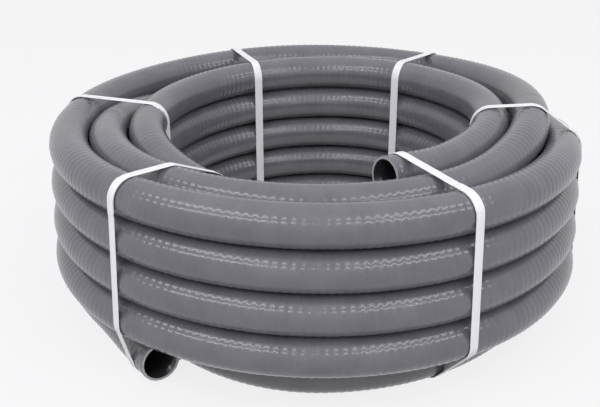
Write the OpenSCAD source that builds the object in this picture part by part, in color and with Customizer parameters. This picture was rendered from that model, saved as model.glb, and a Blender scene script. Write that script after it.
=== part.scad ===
// Roll of flexible spiral-reinforced PVC waste hose, wound in three columns of
// five layers and held by six plastic straps. Millimetres, +Z up, the roll's
// axis on Z and the undersides of the straps on Z = 0.

/* [Hose] */
// Outside diameter of the hose
hose_od = 50; // [48:0.5:50]
// Bore of the hose
hose_id = 43; // [38:0.5:44]
// Straight length at the end that starts the winding
inner_tail_l = 50; // [50:1:60]
// Straight length at the end that finishes the winding
outer_tail_l = 56; // [50:1:70]

/* [Roll] */
// Height from one layer of hose to the next
layer = 50.4; // [50.2:0.1:53]
// Radius of the inner column, to the middle of the hose
inner_r = 228; // [215:1:240]
// Step from one column to the next
column = 52; // [51.5:0.5:56]
// How much further the roll reaches front and back than left and right
oval = 18.5; // [0:0.5:25]

/* [Straps] */
// Width of the strapping
strap_w = 12; // [9:1:19]
// Thickness of the strapping
strap_t = 0.8; // [0.6:0.1:1.2]
// Length of the welded overlap that closes a strap
seal_l = 42; // [30:2:60]

/* [Hidden] */

HOSE_GREY = [0.53, 0.53, 0.56];
STRAP_WHITE = [0.94, 0.94, 0.96];

// Winding. t is the angle travelled along the hose, in degrees, anticlockwise
// from above with 0 on +X. It keeps growing from turn to turn.
drops = 4;               // layers that each column climbs or descends
t_start = -58;           // end of the inner tail, on top of the inner column
ring_step = 15;          // 24 rings a loop, so that all loops' rings line up
ring_count = 332;
t_end = t_start + ring_step * (ring_count - 1);
t_cross = 1594;          // bottom of the inner column: moves out to the middle one
t_climb = 1895;          // first step up of the middle column
t_ride = 3190;           // top of the middle column: rides out over the outer one
t_descend = 3480;        // first step down of the outer column
t_last = 4680;           // turn that ends in the outer tail

sides = 6;               // sides of the swept hose
slack = 0.3;             // gap between the hose and a strap pulled tight round it
mid_r = inner_r + column; // middle column, about which the straps are turned
top_z = drops * layer + hose_od / 2 + slack + strap_t;

// Heights of the inner column above the top layer: at the front, then its crown,
// and how much the free end springs up
end_rise = 2;
crown_rise = 15;
end_spring = 6.7;
// Slow fall of the outer column across the front, and its hump over the crossing
front_fall = 6;
ride_rise = 17;

// Sideways moves of the outer hose: it leans out as it goes down, and its last
// turn is drawn in under the roll and then turns out to its cut end
lean = 7;
tuck = 33;
flare = 30;
// Bulge of the first turn to the right, beside the ride over the outer column
bulge = 10.5;

// 0 before a, 1 after b, with a smooth change between them
function ease(t, a, b) = let (u = max(0, min(1, (t - a) / (b - a)))) u * u * (3 - 2 * u);
// The same change once in each of n turns
function stairs(t, a, b, n) =
    n == 0 ? 0 : ease(t, a + 360 * (n - 1), b + 360 * (n - 1)) + stairs(t, a, b, n - 1);

// Distance from the axis to the middle of the hose
function winding_r(t) = inner_r
    - 5 * (1 - ease(t, -90, 0)) + bulge * (ease(t, -44, -4) - ease(t, 4, 40))
    + column * ease(t, t_cross, t_cross + 117)
    + 12 * (ease(t, t_cross + 65, t_cross + 117) - ease(t, t_climb - 125, t_climb - 65))
    + column * ease(t, t_ride + 10, t_ride + 120)
    + lean * max(0, min(1, (t - 3420) / 1260)) - 2 * ease(t, 3240, 3400)
    - tuck * ease(t, t_last + 168, t_last + 224)
    + flare * ease(t, t_last + 210, t_last + 250);

// Height of the middle of the hose
function winding_z(t) = top_z + end_rise + end_spring * (1 - ease(t, -75, -40))
    + (crown_rise - end_rise) * stairs(t, -70, 20, 5) - crown_rise * stairs(t, 20, 190, 5)
    - (layer - end_rise) * stairs(t, 185, 292, drops)
    + layer * stairs(t, t_climb, t_climb + 110, drops)
    + ride_rise * (ease(t, t_ride - 8, t_ride + 48)
        - 0.65 * ease(t, t_ride + 50, t_ride + 115) - 0.35 * ease(t, t_ride + 140, t_ride + 200))
    - front_fall * stairs(t, t_descend, t_descend + 120, drops)
    - (layer - front_fall) * stairs(t, t_descend + 82, t_descend + 188, drops);

function wound(t) = [winding_r(t) * cos(t), (winding_r(t) + oval) * sin(t), winding_z(t)];
function unit(v) = v / norm(v);
function heading(t) = unit(wound(t + 0.5) - wound(t - 0.5));

// Section of the swept hose at t, square to its run, with a corner facing out
function ring(t, r) =
    let (h = heading(t), out = unit(cross(h, [0, 0, 1])), up = cross(out, h))
    [for (a = [0:360 / sides:359]) wound(t) + r * (cos(a) * out + sin(a) * up)];

function ring_t(i) = t_start + ring_step * i;

// Least gap between a ring and the rings beside it in the later turns
function gap_at(rings, i) = min([for (j = [i + 18:ring_count - 1])
    let (turn = (j - i) % 24)
    if (turn < 2 || turn > 22)
    for (p = rings[i]) for (q = rings[j]) norm(p - q)]);

module hose_coil() {
    outer = [for (i = [0:ring_count - 1]) ring(ring_t(i), hose_od / 2)];
    inner = [for (i = [0:ring_count - 1]) ring(ring_t(i), hose_id / 2)];
    run = [for (i = [0:ring_count - 2]) norm(wound(ring_t(i + 1)) - wound(ring_t(i)))];
    echo(hose_m = (run * [for (s = run) 1] + inner_tail_l + outer_tail_l) / 1000);
    echo(least_gap_mm = min([for (i = [0:ring_count - 24]) gap_at(outer, i)]));
    bore = ring_count * sides;
    last = (ring_count - 1) * sides;
    walls = [for (i = [0:ring_count - 2]) for (k = [0:sides - 1])
        let (a = i * sides + k, b = i * sides + (k + 1) % sides) each [
            [a, b, b + sides], [a, b + sides, a + sides],
            [bore + b, bore + a, bore + a + sides], [bore + b, bore + a + sides, bore + b + sides]]];
    faces_at_ends = [for (k = [0:sides - 1])
        let (n = (k + 1) % sides) each [
            [n, k, bore + k], [n, bore + k, bore + n],
            [last + k, last + n, bore + last + n], [last + k, bore + last + n, bore + last + k]]];
    color(HOSE_GREY) polyhedron(
        [each for (r = outer) r, each for (r = inner) r], concat(walls, faces_at_ends));
}

// Straight cut end, from the coil's end section outwards
module tail(t, way, l) {
    h = way * heading(t);
    color(HOSE_GREY) translate(wound(t)) rotate([0, acos(h.z), atan2(h.y, h.x)]) difference() {
        cylinder(d = hose_od, h = l, $fn = 96);
        translate([0, 0, -1]) cylinder(d = hose_id, h = l + 2, $fn = 96);
    }
}

module inner_tail() {
    tail(t_start, -1, inner_tail_l);
}

module outer_tail() {
    tail(t_end, 1, outer_tail_l);
}

// Where the hose meets the upright plane from point o towards angle b: distance
// from o and height. It is found by steps along the hose, which runs straight on
// beyond the coil's ends.
function section(t, o, b, steps = 2) = let (
        near = max(t_start, min(t_end, t)), at = wound(near), h = heading(near),
        away = ((at.y - o.y) * cos(b) - (at.x - o.x) * sin(b)) / (h.x * sin(b) - h.y * cos(b)))
    near == t && steps > 0
        ? section(t + away / norm(wound(t + 0.5) - wound(t - 0.5)), o, b, steps - 1)
        : let (p = at + away * h) [(p.x - o.x) * cos(b) + (p.y - o.y) * sin(b), p.z];
function bundle(a, o, b) = [for (n = [-1:14]) let (t = a + 360 * n)
    if (t > t_start - 8 && t < t_end + 8) section(t, o, b)];

// Outline drawn tight round the bundle, r out from the middles of the hoses
function farthest(pts, way) = let (reach = [for (q = pts) q * way])
    [for (i = [0:len(pts) - 1]) if (reach[i] == max(reach)) pts[i]][0];
function tight(pts, r) = [for (a = [0:9:359]) let (way = [cos(a), sin(a)]) farthest(pts, way) + r * way];

// One strap round the bundle at angle a, turned by skew from square across it.
// Its ends overlap and are welded at seal_a, seen from the middle of the bundle:
// 0 faces out and 90 faces up.
module strap(a, skew, seal_a) {
    b = a + skew;
    o = [mid_r * cos(a) - mid_r * cos(b), (mid_r + oval) * sin(a) - mid_r * sin(b)];
    pts = bundle(a, o, b);
    r = hose_od / 2 + slack;
    seal = farthest(tight(pts, r + strap_t), [cos(seal_a), sin(seal_a)]);
    color(STRAP_WHITE) translate([o.x, o.y, 0]) rotate([90, 0, b])
        linear_extrude(strap_w, center = true) {
            difference() {
                polygon(tight(pts, r + strap_t));
                polygon(tight(pts, r));
            }
            intersection() {
                difference() {
                    polygon(tight(pts, r + 2 * strap_t));
                    polygon(tight(pts, r + strap_t));
                }
                translate(seal) circle(d = seal_l, $fn = 48);
            }
        }
}

hose_coil();
inner_tail();
outer_tail();
strap(350, 3, 20);  // strap_right
strap(53, 5, 70);  // strap_back_right
strap(113.5, -4, 80);  // strap_back_left
strap(174.5, -15, 20);  // strap_left
strap(232.9, -12, 20);  // strap_front_left
strap(297, 7, 70);  // strap_front_right
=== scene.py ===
"""Roll of flexible grey waste hose, as it leaves the winding machine: one hose of
25 m wound in three columns of five layers, with two plain cut ends, and six
white plastic straps welded round it.

Lengths are in metres and the roll stands on z = 0 with its axis on Z.
"""
import math

import bmesh
import bpy
import numpy as np
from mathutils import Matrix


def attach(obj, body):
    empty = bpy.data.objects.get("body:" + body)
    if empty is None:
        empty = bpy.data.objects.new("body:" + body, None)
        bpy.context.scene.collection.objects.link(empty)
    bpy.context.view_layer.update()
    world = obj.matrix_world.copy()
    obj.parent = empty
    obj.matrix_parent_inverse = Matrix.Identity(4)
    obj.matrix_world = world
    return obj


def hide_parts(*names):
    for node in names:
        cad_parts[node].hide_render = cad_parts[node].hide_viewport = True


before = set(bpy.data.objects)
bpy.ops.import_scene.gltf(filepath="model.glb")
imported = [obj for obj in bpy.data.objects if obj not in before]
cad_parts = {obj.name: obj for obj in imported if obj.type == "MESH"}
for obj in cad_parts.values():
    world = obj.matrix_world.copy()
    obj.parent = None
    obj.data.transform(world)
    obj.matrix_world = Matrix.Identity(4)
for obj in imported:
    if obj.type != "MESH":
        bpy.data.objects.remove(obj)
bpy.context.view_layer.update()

# ---------------------------------------------------------------- camera
# Seen from the front and a little above, so that the far side of the roll
# shows through the hole in the middle.
tilt_down = 0.394                 # radians below level
lens = bpy.data.cameras.new("studio_camera")
lens.lens, lens.sensor_width = 54.36, 36.0
camera = bpy.data.objects.new("studio_camera", lens)
camera.location = (-0.020, -1.2016, 0.6063)
camera.rotation_euler = (math.pi / 2 - tilt_down, 0, 0)
bpy.context.scene.collection.objects.link(camera)
bpy.context.scene.camera = camera

# ------------------------------------------------ the route of the wound hose
# The winder lays the inner column from the top down, crosses under the roll,
# brings the middle column up, rides out over the outer one and comes down it.
# t is the angle travelled, in degrees anticlockwise from above, 0 on +X.
hose_r, bore_r = 0.025, 0.0215
layer, column = 0.0504, 0.052     # steps from one layer and column to the next
inner_column_r = 0.228
oval = 0.0185                     # how much further the roll reaches in Y
strap_gap, strap_t = 0.0003, 0.0008
drops = 4                         # layers that each column climbs or descends
top_z = drops * layer + hose_r + strap_gap + strap_t
inner_end_l, outer_end_l = 0.050, 0.056
t_start, t_end = -58.0, 4907.0
# Angles where the hose crosses under the roll, starts to climb, rides out over the
# outer column, starts down it and starts its last turn.
t_cross, t_climb, t_ride, t_descend, t_last = 1594, 1895, 3190, 3480, 4680
# Heights: the inner column above the top layer at the front, its crown and the
# spring of its free end, the outer column's slow fall across the front, and the
# hump where the hose rides over, with the share of it lost first.
end_rise, crown_rise, end_spring = 0.002, 0.015, 0.0067
front_fall, ride_rise, first_drop = 0.006, 0.017, 0.65
# Moves in and out: the outer column leans out as it comes down, and its last turn
# is drawn in and then turned out. The first turn starts further in and bulges
# beside the hump, the middle column starts wide, and the outer one settles in.
lean, tuck, flare = 0.007, 0.033, 0.030
start_in, bulge, swing, settle = 0.005, 0.0105, 0.012, 0.002
steps_a_degree = 4


def ease(t, a, b):
    """Smooth step, 0 before a and 1 after b: 3u^2 - 2u^3, u the share of the way."""
    u = np.clip((t - a) / (b - a), 0, 1)
    return u * u * (3 - 2 * u)


def stairs(t, a, b, turns):
    """The smooth step taken once in each turn, 360 degrees apart."""
    return sum(ease(t, a + 360 * n, b + 360 * n) for n in range(turns))


def winding_r(t):
    """Distance of the hose's middle from the axis: a column out at the crossing
    below and at the ride over the top, then leaning out as it comes down."""
    return (inner_column_r - start_in * (1 - ease(t, -90, 0))
            + bulge * (ease(t, -44, -4) - ease(t, 4, 40))
            + column * ease(t, t_cross, t_cross + 117)
            + swing * (ease(t, t_cross + 65, t_cross + 117)
                       - ease(t, t_climb - 125, t_climb - 65))
            + column * ease(t, t_ride + 10, t_ride + 120)
            + lean * np.clip((t - 3420) / 1260, 0, 1) - settle * ease(t, 3240, 3400)
            - tuck * ease(t, t_last + 168, t_last + 224)
            + flare * ease(t, t_last + 210, t_last + 250))


def winding_z(t):
    """Height of the hose's middle: flights of one-layer steps, down, up and down."""
    return (top_z + end_rise + end_spring * (1 - ease(t, -75, -40))
            + (crown_rise - end_rise) * stairs(t, -70, 20, 5)
            - crown_rise * stairs(t, 20, 190, 5)
            - (layer - end_rise) * stairs(t, 185, 292, drops)
            + layer * stairs(t, t_climb, t_climb + 110, drops)
            + ride_rise * (ease(t, t_ride - 8, t_ride + 48)
                           - first_drop * ease(t, t_ride + 50, t_ride + 115)
                           - (1 - first_drop) * ease(t, t_ride + 140, t_ride + 200))
            - front_fall * stairs(t, t_descend, t_descend + 120, drops)
            - (layer - front_fall) * stairs(t, t_descend + 82, t_descend + 188, drops))


def unit(v):
    """Vectors scaled to length 1."""
    return v / np.linalg.norm(v, axis=-1, keepdims=True)


turned = np.linspace(t_start, t_end, round((t_end - t_start) * steps_a_degree) + 1)
wound = np.stack([winding_r(turned) * np.cos(np.radians(turned)),
                  (winding_r(turned) + oval) * np.sin(np.radians(turned)),
                  winding_z(turned)], -1)
run = np.r_[0, np.cumsum(np.linalg.norm(np.diff(wound, axis=0), axis=1))]
heading = unit(np.gradient(wound, run, axis=0))


def route(s):
    """Middle of the hose at run s from the start of the winding, and the three
    directions there: along it, level across it and up across it. Before 0 and
    after the winding's end the hose goes straight on."""
    held = np.clip(s, 0, run[-1])
    along = unit(np.stack([np.interp(held, run, heading[:, i]) for i in range(3)], -1))
    middle = np.stack([np.interp(held, run, wound[:, i]) for i in range(3)], -1)
    middle = middle + (s - held)[..., None] * along
    out = unit(np.cross(along, [0.0, 0.0, 1.0]))
    return middle, along, out, np.cross(out, along)


# ------------------------------------------------------------------ the hose
# Flexible PVC with a rigid PVC spiral welded into the wall as it is extruded:
# the spiral shows as low round ribs, the bore is smooth, and both ends are
# cut square with a knife.
rib_pitch, rib_h = 0.0094, 0.00050
sides, rings_a_rib = 20, 4
crest_r = hose_r - 0.0001         # crests a hair inside the nominal size
bore_step = 0.024                 # from one ring of the bore to the next
same_point = 2e-6                 # corners closer than this are one corner
path_step = 0.01                  # from one point of a cord's path to the next


def rib(phase):
    """Height of the ribs from valley, 0, to crest, 1: a raised cosine."""
    return 0.5 + 0.5 * np.cos(2 * np.pi * phase)


def hose_mesh(name, start, end):
    """Closed tube from run start to run end. The outside is one grid that winds
    with the spiral: row i, side k is at run start + pitch (i / rings + k / sides),
    held between the two cuts, so that side 20 of a row is side 0 of the row one
    rib on. Plain rings make the bore, and a flat ring each cut."""
    rows = np.arange(-rings_a_rib, math.ceil((end - start) / rib_pitch * rings_a_rib) + 1)
    k = np.arange(sides)
    s = np.clip(start + rib_pitch * (rows[:, None] / rings_a_rib + k / sides), start, end)
    height = rib((s - start_of_hose) / rib_pitch - k / sides)
    angle = 2 * np.pi * k / sides
    middle, _, out, up = route(s)
    r = crest_r - rib_h * (1 - height)
    skin = middle + r[..., None] * (np.cos(angle)[:, None] * out + np.sin(angle)[:, None] * up)

    bore_s = np.linspace(start, end, math.ceil((end - start) / bore_step) + 1)
    middle, _, out, up = route(bore_s[:, None] + 0 * k)
    bore = middle + bore_r * (np.cos(angle)[:, None] * out + np.sin(angle)[:, None] * up)

    def grid(row, side):
        """Number of the skin's vertex there, a whole turn on being one rib on."""
        row = row + rings_a_rib * (side // sides)
        return np.minimum(row, len(rows) - 1) * sides + side % sides

    def quads(i, k, at, outwards):
        """Faces between rows i and i + 1 and sides k and k + 1."""
        corners = [at(i, k), at(i + 1, k), at(i + 1, k + 1), at(i, k + 1)]
        return np.stack(corners if outwards else corners[::-1], -1).reshape(-1, 4)

    first = len(rows) * sides

    def inside(row, side):
        """Number of the bore's vertex there."""
        return first + row * sides + side % sides

    i, k = np.meshgrid(np.arange(len(rows) - 1), np.arange(sides), indexing="ij")
    faces = [quads(i, k, grid, True)]
    i, k = np.meshgrid(np.arange(len(bore_s) - 1), np.arange(sides), indexing="ij")
    faces.append(quads(i, k, inside, False))
    k, n = np.arange(sides), np.arange(1, sides + 1) % sides
    last, edge = len(bore_s) - 1, (len(rows) - 1) * sides
    faces.append(np.stack([k, n, inside(0, n), inside(0, k)], -1))
    faces.append(np.stack([edge + n, edge + k, inside(last, k), inside(last, n)], -1))

    mesh = bpy.data.meshes.new(name)
    mesh.from_pydata(np.concatenate([skin.reshape(-1, 3), bore.reshape(-1, 3)]), [],
                     np.concatenate(faces).tolist())
    mesh.polygons.foreach_set("use_smooth", np.arange(len(mesh.polygons))
                              < len(mesh.polygons) - 2 * sides)
    crest = mesh.attributes.new("rib", "FLOAT", "POINT")
    # The bore is marked -1 so that the material paints it dark: a painted shade inside the
    # tube.
    crest.data.foreach_set("value", np.r_[height.ravel(), np.full(bore.size // 3, -1.0)])
    # The cut faces are marked 1 so that the material paints them pale: a painted highlight on
    # the rims.
    cut = mesh.attributes.new("cut", "FLOAT", "FACE")
    cut.data.foreach_set("value", (np.arange(len(mesh.polygons))
                                   >= len(mesh.polygons) - 2 * sides).astype(float))
    shape = bmesh.new()
    shape.from_mesh(mesh)
    bmesh.ops.remove_doubles(shape, verts=shape.verts, dist=same_point)
    shape.to_mesh(mesh)
    shape.free()
    return mesh


def linear(hex_colour):
    """sRGB hex to linear red, green, blue and a full alpha."""
    c = np.array([int(hex_colour[i:i + 2], 16) for i in (1, 3, 5)]) / 255
    return (*np.where(c <= 0.04045, c / 12.92, ((c + 0.055) / 1.055) ** 2.4), 1.0)


def add(material, kind, settings=None, **links):
    """Adds a node with its settings, {property or input: value}, and links its
    inputs, input=(node, output) or input=node for its first output. i7 is the
    input numbered 7."""
    node = material.node_tree.nodes.new("ShaderNode" + kind)
    for key, value in (settings or {}).items():
        if isinstance(key, str) and hasattr(node, key):
            setattr(node, key, value)
        else:
            node.inputs[key].default_value = value
    for key, source in links.items():
        source = source if isinstance(source, tuple) else (source, 0)
        slot = int(key[1:]) if key[1:].isdigit() and key[0] == "i" else key.replace("_", " ")
        material.node_tree.links.new(source[0].outputs[source[1]], node.inputs[slot])
    return node


# Plasticised PVC, extruded: satin, in soft patches of a slightly paler grey, a
# shade paler again on the ribs' crests, with a fine grain. The bore is painted
# dark, a painted shade inside the tube, and the cut faces are painted pale, a
# painted highlight of the light on the rims.
pvc = bpy.data.materials.new("plasticised_pvc_extruded")
pvc.use_nodes = True
pvc.node_tree.nodes.clear()
coords = add(pvc, "TexCoord")
ribs = add(pvc, "Attribute", {"attribute_name": "rib"})
ends = add(pvc, "Attribute", {"attribute_name": "cut"})
patch, speck = 0.030, 0.0012      # across a soft patch and a grain
cloud = add(pvc, "TexNoise", {"Scale": 1 / patch, "Detail": 3.0, "Roughness": 0.55},
            Vector=(coords, "Object"))
grain = add(pvc, "TexNoise", {"Scale": 1 / speck, "Detail": 2.0, "Roughness": 0.6},
            Vector=(coords, "Object"))
tone = add(pvc, "ValToRGB", Fac=cloud)
for stop, at, shade in zip(tone.color_ramp.elements, (0.35, 0.68), ("#66656C", "#6E6D74")):
    stop.position = at
    stop.color = linear(shade)
# The crests of the ribs are mixed a little towards a paler grey.
crest_share = add(pvc, "MapRange", {"From Min": 0.80, "From Max": 1.0, "To Max": 0.15},
          Value=(ribs, "Fac"))
paler_crests = add(pvc, "Mix", {"data_type": "RGBA", 7: linear("#78777D")}, i0=crest_share, i6=tone)
# The bore is painted dark: a painted shade inside the tube.
outside = add(pvc, "MapRange", {"From Min": -0.5, "From Max": 0.0}, Value=(ribs, "Fac"))
skin = add(pvc, "Mix", {"data_type": "RGBA", 6: linear("#2E2E31")}, i0=outside, i7=(paler_crests, 2))
# The cut faces are painted pale: a painted highlight of the light on the rims.
colour = add(pvc, "Mix", {"data_type": "RGBA", 7: linear("#B4B4B8")},
             i0=(ends, "Fac"), i6=(skin, 2))
satin = add(pvc, "MapRange", {"To Min": 0.15, "To Max": 0.22}, Value=cloud)
bump = add(pvc, "Bump", {"Strength": 0.12, "Distance": 0.0002}, Height=grain)
shader = add(pvc, "BsdfPrincipled", {"IOR": 1.53},
             Base_Color=(colour, 2), Roughness=satin, Normal=bump)
add(pvc, "OutputMaterial", Surface=shader)

# One hose, kept in three meshes that meet face to face, low on the left where it
# crosses under the roll and on top at the right where it rides out. A cord's path
# ends at its far end, so the inner column's goes up to its cut end.
start_of_hose, end_of_hose = -inner_end_l, run[-1] + outer_end_l
t_below, t_above = 1614.5, 3240.0
below, above = np.interp([t_below, t_above], turned, run)
for name, start, end in (("inner", start_of_hose, below), ("middle", below, above),
                         ("outer", above, end_of_hose)):
    piece = bpy.data.objects.new(f"hose_{name}_column", hose_mesh(name, start, end))
    piece.data.materials.append(pvc)
    bpy.context.scene.collection.objects.link(piece)
    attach(piece, "root")
    path = route(np.linspace(start, end, math.ceil((end - start) / path_step) + 1))[0]
    if name == "inner":
        path = path[::-1]
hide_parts("hose_coil", "inner_tail")
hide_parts("hose_coil")
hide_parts("hose_coil", "outer_tail")

# ---------------------------------------------------------------- the straps
# White polypropylene strapping, embossed for grip. Each is pulled tight round
# the bundle and its ends overlap and are welded together by heat.
strap_w, weld_l, strap_edge = 0.012, 0.042, 0.00032
mid_r = inner_column_r + column
search_step, strap_rows = 0.002, 420
weld_ramp = (-0.006, 0.001)       # where the top end rises over the other one
# Angle round the roll, turn from square, and angle of the weld round the strap,
# where 0 faces out and 90 up, all in degrees.
straps = {"right": (350, 3, 20), "back_right": (53, 5, 70), "back_left": (113.5, -4, 80),
          "left": (174.5, -15, 20), "front_left": (232.9, -12, 20),
          "front_right": (297, 7, 70)}


def crossings(origin, b):
    """Where the hose's middle passes through the upright plane from the origin
    towards angle b: distance out along it and height, one row for each turn."""
    middle = route(np.arange(start_of_hose, end_of_hose, search_step))[0] - [*origin, 0]
    beside = middle[:, 1] * math.cos(b) - middle[:, 0] * math.sin(b)
    out = middle[:, 0] * math.cos(b) + middle[:, 1] * math.sin(b)
    at = np.flatnonzero((beside[:-1] < 0) & (beside[1:] >= 0) & (out[1:] > 0))
    share = (beside[at] / (beside[at] - beside[at + 1]))[:, None]
    both = np.stack([out, middle[:, 2]], -1)
    return both[at] * (1 - share) + both[at + 1] * share


def tight(points, r, per_turn=240):
    """Outline pulled tight round circles of radius r on the points: for each
    direction, the farthest point and r beyond it."""
    a = 2 * np.pi * np.arange(per_turn) / per_turn
    ways = np.stack([np.cos(a), np.sin(a)], -1)
    return points[(ways @ points.T).argmax(1)] + r * ways, ways


def strap_mesh(name, a, skew, seal_a):
    """Band of rounded oblong section carried along the tight outline, from one
    end under the weld, once round, and up over that end for the weld's length.
    It crosses the middle column at angle a, turned by skew from square."""
    b = a + skew
    origin = (mid_r * (math.cos(a) - math.cos(b)),
              mid_r * (math.sin(a) - math.sin(b)) + oval * math.sin(a))
    line, normal = tight(crossings(origin, b), hose_r + strap_gap)
    line, normal = np.vstack([line, line[:1]]), np.vstack([normal, normal[:1]])
    length = np.r_[0, np.cumsum(np.linalg.norm(np.diff(line, axis=0), axis=1))]
    ring = length[-1]
    seal = math.radians(seal_a)
    weld = length[(line[:-1] @ [math.cos(seal), math.sin(seal)]).argmax()] - weld_l / 2
    s = np.linspace(0, ring + weld_l, strap_rows)
    at = (weld + s) % ring
    middle = np.stack([np.interp(at, length, line[:, i]) for i in (0, 1)], -1)
    away = unit(np.stack([np.interp(at, length, normal[:, i]) for i in (0, 1)], -1))
    lift = strap_t * (0.5 + ease(s, ring + weld_ramp[0], ring + weld_ramp[1]))
    middle = middle + lift[:, None] * away

    arc = np.concatenate([np.radians(np.arange(0, 91, 30)) + q * np.pi / 2 for q in range(4)])
    across = ((strap_w / 2 - strap_edge) * np.repeat([1, -1, -1, 1], 4)
              + strap_edge * np.cos(arc))
    deep = ((strap_t / 2 - strap_edge) * np.repeat([1, 1, -1, -1], 4)
            + strap_edge * np.sin(arc))
    out = middle[:, None] + deep[:, None] * away[:, None]
    points = np.stack([origin[0] + out[..., 0] * math.cos(b) - across * math.sin(b),
                       origin[1] + out[..., 0] * math.sin(b) + across * math.cos(b),
                       out[..., 1]], -1)
    n = len(across)
    i, k = np.meshgrid(np.arange(len(s) - 1), np.arange(n), indexing="ij")
    faces = np.stack([i * n + k, i * n + (k + 1) % n, (i + 1) * n + (k + 1) % n,
                      (i + 1) * n + k], -1).reshape(-1, 4).tolist()
    faces += [list(range(n))[::-1], list(range((len(s) - 1) * n, len(s) * n))]
    mesh = bpy.data.meshes.new(name)
    mesh.from_pydata(points.reshape(-1, 3), [], faces)
    mesh.polygons.foreach_set("use_smooth", np.arange(len(faces)) < len(faces) - 2)
    run_uv = mesh.uv_layers.new(name="strap")
    corners = np.zeros(len(mesh.loops), np.int32)
    mesh.loops.foreach_get("vertex_index", corners)
    run_uv.data.foreach_set("uv", np.stack(
        [np.repeat(s, n)[corners], np.tile(across, len(s))[corners]], -1).ravel())
    return mesh


# Polypropylene, rolled and embossed with small diamonds 2.5 mm apart: white and
# half matt, with a faint haze in its shade. At scale 1 the wave texture repeats
# every 0.314 of its coordinate, here the metres of the band's UV.
diamond, wave_repeat, haze_patch = 0.0025, 0.314, 0.02
polypropylene = bpy.data.materials.new("polypropylene_embossed")
polypropylene.use_nodes = True
polypropylene.node_tree.nodes.clear()
coords = add(polypropylene, "TexCoord")
turn = add(polypropylene, "Mapping", {"Rotation": (0, 0, math.pi / 4)}, Vector=(coords, "UV"))
one = add(polypropylene, "TexWave", {"Scale": wave_repeat / diamond, "bands_direction": "X"},
          Vector=turn)
other = add(polypropylene, "TexWave", {"Scale": wave_repeat / diamond, "bands_direction": "Y"},
            Vector=turn)
diamonds = add(polypropylene, "Math", {"operation": "MULTIPLY"}, i0=one, i1=other)
haze = add(polypropylene, "TexNoise", {"Scale": 1 / haze_patch, "Detail": 2.0},
           Vector=(coords, "Object"))
milky = add(polypropylene, "ValToRGB", Fac=haze)
for stop, shade in zip(milky.color_ramp.elements, ("#F0F0F4", "#F4F4F7")):
    stop.color = linear(shade)
press = add(polypropylene, "Bump", {"Strength": 0.35, "Distance": 0.00015}, Height=diamonds)
shader = add(polypropylene, "BsdfPrincipled",
             {"IOR": 1.49, "Roughness": 0.5, "Specular IOR Level": 0.2},
             Base_Color=milky, Normal=press)
add(polypropylene, "OutputMaterial", Surface=shader)

for name, (a, skew, seal_a) in straps.items():
    band = bpy.data.objects.new(f"pp_strap_{name}",
                                strap_mesh(name, math.radians(a), math.radians(skew), seal_a))
    band.data.materials.append(polypropylene)
    bpy.context.scene.collection.objects.link(band)
    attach(band, "root")
    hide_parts(f"strap_{name}")

# ------------------------------------------------------------ floor and light
# A matt pale floor in an even pale room, with a weak wide softbox overhead and a
# weak panel behind the camera. Two narrow lamps on each side, one above the other,
# draw two rows of small lights along the ribs.


def seen_directly(tree_owner):
    """1 for rays from the camera, mirror-like faces and clear ones, 0 for the rest."""
    rays = add(tree_owner, "LightPath")
    either = add(tree_owner, "Math", {"operation": "MAXIMUM"}, i0=(rays, "Is Camera Ray"),
                 i1=(rays, "Is Glossy Ray"))
    return add(tree_owner, "Math", {"operation": "MAXIMUM"}, i0=either,
               i1=(rays, "Is Transmission Ray"))


reach = 9.0                       # from the middle of the floor to its edges
floor_mesh = bpy.data.meshes.new("floor")
floor_mesh.from_pydata([(-reach, -reach, 0), (reach, -reach, 0), (reach, reach, 0),
                        (-reach, reach, 0)], [], [(0, 1, 2, 3)])
floor = bpy.data.objects.new("floor", floor_mesh)
bpy.context.scene.collection.objects.link(floor)
paper = bpy.data.materials.new("matt_paper")
paper.use_nodes = True
paper.node_tree.nodes.clear()
matt = add(paper, "BsdfDiffuse", {"Color": linear("#CCCCCE")})
shadowed = add(paper, "BsdfDiffuse", {"Color": linear("#626264")})
pale = add(paper, "Emission", {"Color": linear("#F4F4F5"), "Strength": 0.90})
both = add(paper, "AddShader", i0=shadowed, i1=pale)
shown = add(paper, "MixShader", i0=seen_directly(paper), i1=matt, i2=both)
add(paper, "OutputMaterial", Surface=shown)
floor.data.materials.append(paper)

world = bpy.data.worlds.new("studio")
bpy.context.scene.world = world
world.use_nodes = True
room = world.node_tree.nodes["Background"]
room.inputs["Color"].default_value = linear("#F4F4F6")
level = add(world, "MapRange", {"To Min": 0.52, "To Max": 1.0}, Value=seen_directly(world))
world.node_tree.links.new(level.outputs[0], room.inputs["Strength"])

# Each lamp's place, the point it is turned to, its width and depth, and its watts.
for name, place, aim, size, watts in (
        ("overhead", (0, 0, 4.0), (0, 0, 0), (6.0, 6.0), 34),
        ("front", (0, -3.6, 1.7), (0, 0, 0.1), (4.0, 2.6), 10),
        ("softbox_left", (-1.49, -1.28, 2.77), (0, -0.2, 0.15), (2.8, 0.29), 19),
        ("softbox_right", (1.49, -1.28, 2.77), (0, -0.2, 0.15), (2.8, 0.29), 16),
        ("low_strip_left", (-1.73, -2.12, 2.03), (0, -0.2, 0.15), (3.2, 0.14), 19),
        ("low_strip_right", (1.73, -2.12, 2.03), (0, -0.2, 0.15), (3.2, 0.14), 16)):
    light = bpy.data.lights.new(name, "AREA")
    light.shape, light.size, light.size_y, light.energy = "RECTANGLE", *size, watts
    lamp = bpy.data.objects.new(name, light)
    way = np.array(aim) - np.array(place)
    lamp.location = place
    lamp.rotation_euler = (math.acos(-way[2] / np.linalg.norm(way)), 0,
                           math.atan2(way[1], way[0]) - math.pi / 2)
    bpy.context.scene.collection.objects.link(lamp)

bpy.context.scene.view_settings.view_transform = "Standard"
